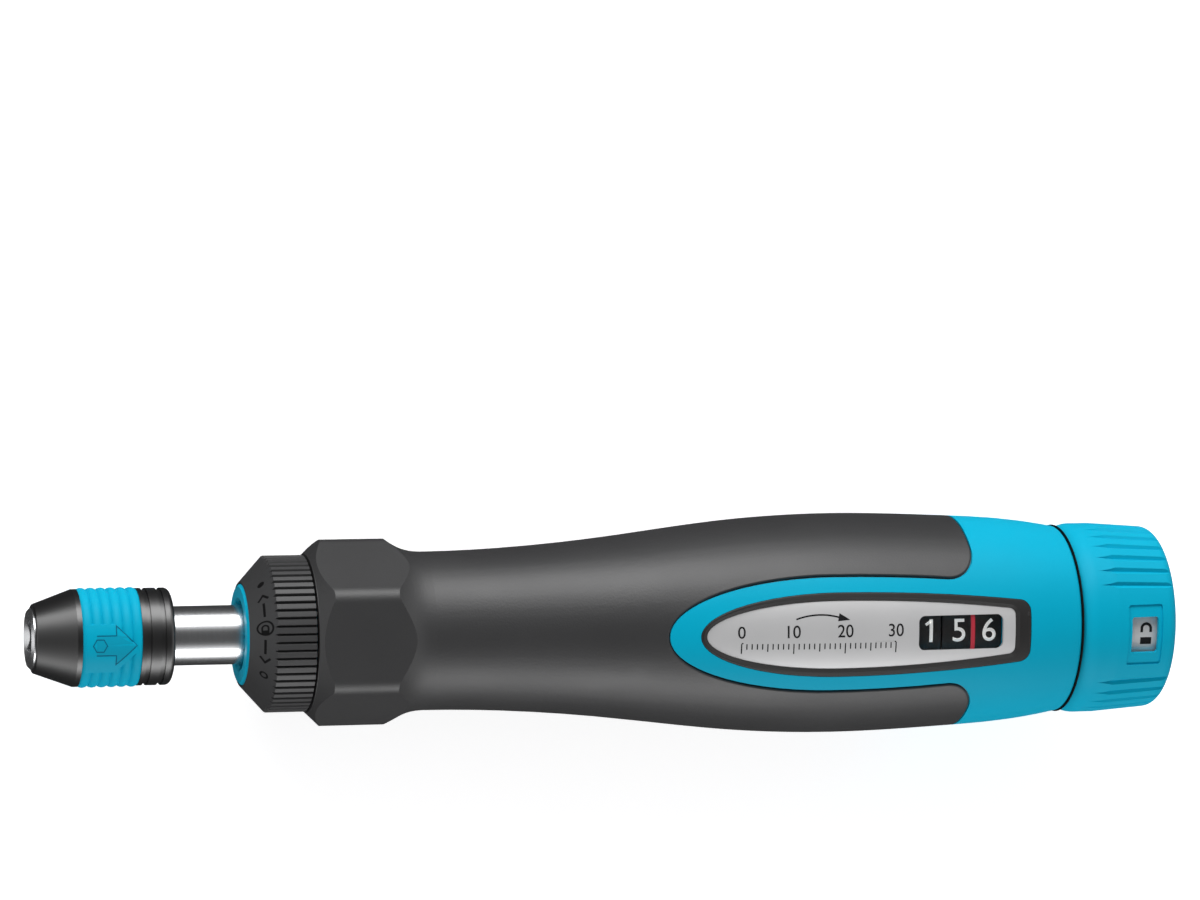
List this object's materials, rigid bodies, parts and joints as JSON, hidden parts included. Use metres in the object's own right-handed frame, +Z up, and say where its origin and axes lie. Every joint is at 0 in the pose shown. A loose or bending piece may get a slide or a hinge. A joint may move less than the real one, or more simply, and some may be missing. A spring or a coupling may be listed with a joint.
{
  "type": "torque screwdriver",
  "caption": "Torque screwdriver with quick-change bit socket, reversible ratchet, slipping ball clutch, number window, soft grip with anti-roll hexagon and lockable setting cap.",
  "frame": {"origin": "centre of the bounding box at its bottom, on the bench the tool lies on", "axes": "+X from the bit socket to the setting cap, tilted 3.2 degrees from the tool's own axis; +Z up, out of the number window; +Y to the left, seen from the handle towards the bit"},
  "size_m": [0.169, 0.0322, 0.0328],
  "materials": {
    "aqua_plastic": "satin moulded",
    "grip_rubber": "soft, fine-grained",
    "black_plastic": "satin",
    "selector_plastic": "matte",
    "wheel_plastic": "matte",
    "white_plastic": "moulded",
    "red_print": "gloss",
    "silver_plate": "fine satin",
    "aluminium": "turned",
    "chrome": "polished",
    "steel": "ground",
    "dark_steel": "oiled",
    "bronze": "sintered bronze",
    "brass": "turned",
    "lens": "clear"
  },
  "bodies": {
    "handle": {"handle_core": "aqua_plastic", "soft_grip": "grip_rubber", "window_bezel": "black_plastic", "scale_plate": "silver_plate", "window_lens": "lens", "decimal_line": "red_print", "front_bush": "bronze", "housing_tube": "aluminium", "thrust_washer": "bronze", "thrust_races": "steel", "thrust_balls": "chrome", "bulkhead": "aluminium", "bulkhead_clip": "dark_steel", "counter_frame": "white_plastic", "rear_cover": "black_plastic", "lock_ring": "steel", "lock_screws": "steel", "main_spring": "steel"},
    "ratchet": {"ratchet_body": "steel", "front_ring": "aqua_plastic", "pawl_pins": "steel", "pawl_springs": "steel", "detent_spring": "steel", "clutch_disc": "dark_steel", "clutch_disc_pins": "steel"},
    "shaft": {"drive_shaft": "chrome", "ratchet_wheel": "dark_steel", "shaft_clip": "dark_steel", "sleeve_spring": "steel"},
    "sleeve": {"chuck_sleeve": "black_plastic", "chuck_band": "aqua_plastic", "sleeve_ring": "dark_steel"},
    "ball": {"bit_ball": "chrome"},
    "selector": {"selector_ring": "selector_plastic", "cam_plate": "steel"},
    "pawl_a": {"pawl_a": "dark_steel"},
    "pawl_b": {"pawl_b": "dark_steel"},
    "clutch_plate": {"pressure_plate": "dark_steel", "clutch_balls": "chrome"},
    "setting": {"setting_spindle": "steel", "tenths_wheel": "wheel_plastic", "mark_sleeve": "silver_plate", "spindle_screw": "steel", "detent_ring": "steel"},
    "nut": {"spring_nut": "brass"},
    "ones": {"ones_wheel": "wheel_plastic"},
    "tens": {"tens_wheel": "wheel_plastic"},
    "cap": {"setting_cap": "aqua_plastic", "dog_ring": "steel"}
  },
  "joints": [
    {"name": "clutch_slip", "type": "hinge", "parent": "handle", "child": "ratchet", "pos_m": [-0.08424, 0, 0.00972], "axis": [0.9984, 0, 0.0558], "continuous": true},
    {"name": "ratchet_spin", "type": "hinge", "parent": "ratchet", "child": "shaft", "pos_m": [-0.08424, 0, 0.00972], "axis": [0.9984, 0, 0.0558], "continuous": true},
    {"name": "sleeve_pull", "type": "slide", "parent": "shaft", "child": "sleeve", "axis": [0.9984, 0, 0.0558], "range_m": [0, 0.0025], "stiffness_N_per_m": 800, "springref_m": -0.004, "deforming": ["sleeve_spring"]},
    {"name": "ball_lift", "type": "slide", "parent": "shaft", "child": "ball", "axis": [-0.0558, 0, 0.9984], "range_m": [0, 0.0006]},
    {"name": "selector_turn", "type": "hinge", "parent": "ratchet", "child": "selector", "pos_m": [-0.08424, 0, 0.00972], "axis": [0.9984, 0, 0.0558], "range_deg": [-20, 20], "deforming": ["detent_spring", "pawl_springs"]},
    {"name": "pawl_a_swing", "type": "hinge", "parent": "ratchet", "child": "pawl_a", "pos_m": [-0.08468, 0, 0.01761], "axis": [0.9984, 0, 0.0558], "range_deg": [-5.6, 5.6]},
    {"name": "pawl_b_swing", "type": "hinge", "parent": "ratchet", "child": "pawl_b", "pos_m": [-0.0838, 0, 0.00183], "axis": [0.9984, 0, 0.0558], "range_deg": [-5.6, 5.6]},
    {"name": "clutch_lift", "type": "slide", "parent": "handle", "child": "clutch_plate", "axis": [0.9984, 0, 0.0558], "range_m": [0, 0.0009], "stiffness_N_per_m": 4000, "springref_m": -0.004, "deforming": ["main_spring"]},
    {"name": "setting_turn", "type": "hinge", "parent": "handle", "child": "setting", "pos_m": [-0.08424, 0, 0.00972], "axis": [-0.9984, 0, -0.0558], "range_deg": [-4896, 5184], "deforming": ["main_spring"]},
    {"name": "nut_travel", "type": "slide", "parent": "handle", "child": "nut", "axis": [-0.9984, 0, -0.0558], "range_m": [-0.0068, 0.0072], "deforming": ["main_spring"]},
    {"name": "ones_turn", "type": "hinge", "parent": "handle", "child": "ones", "pos_m": [-0.08424, 0, 0.00972], "axis": [-0.9984, 0, -0.0558], "range_deg": [-490.6, 519.4]},
    {"name": "tens_turn", "type": "hinge", "parent": "handle", "child": "tens", "pos_m": [-0.08424, 0, 0.00972], "axis": [-0.9984, 0, -0.0558], "range_deg": [-49.96, 52.84]},
    {"name": "cap_pull", "type": "slide", "parent": "setting", "child": "cap", "axis": [0.9984, 0, 0.0558], "range_m": [0, 0.0015], "deforming": ["detent_ring"]}
  ],
  "couplings": [
    {"joint": "ball_lift", "follows": "sleeve_pull", "ratio": 0.24},
    {"joint": "pawl_a_swing", "follows": "selector_turn", "ratio": -0.275},
    {"joint": "pawl_b_swing", "follows": "selector_turn", "ratio": -0.275},
    {"joint": "nut_travel", "follows": "setting_turn", "m_per_rad": 0.000079577},
    {"joint": "ones_turn", "follows": "setting_turn", "ratio": 0.1},
    {"joint": "tens_turn", "follows": "setting_turn", "ratio": 0.01}
  ]
}
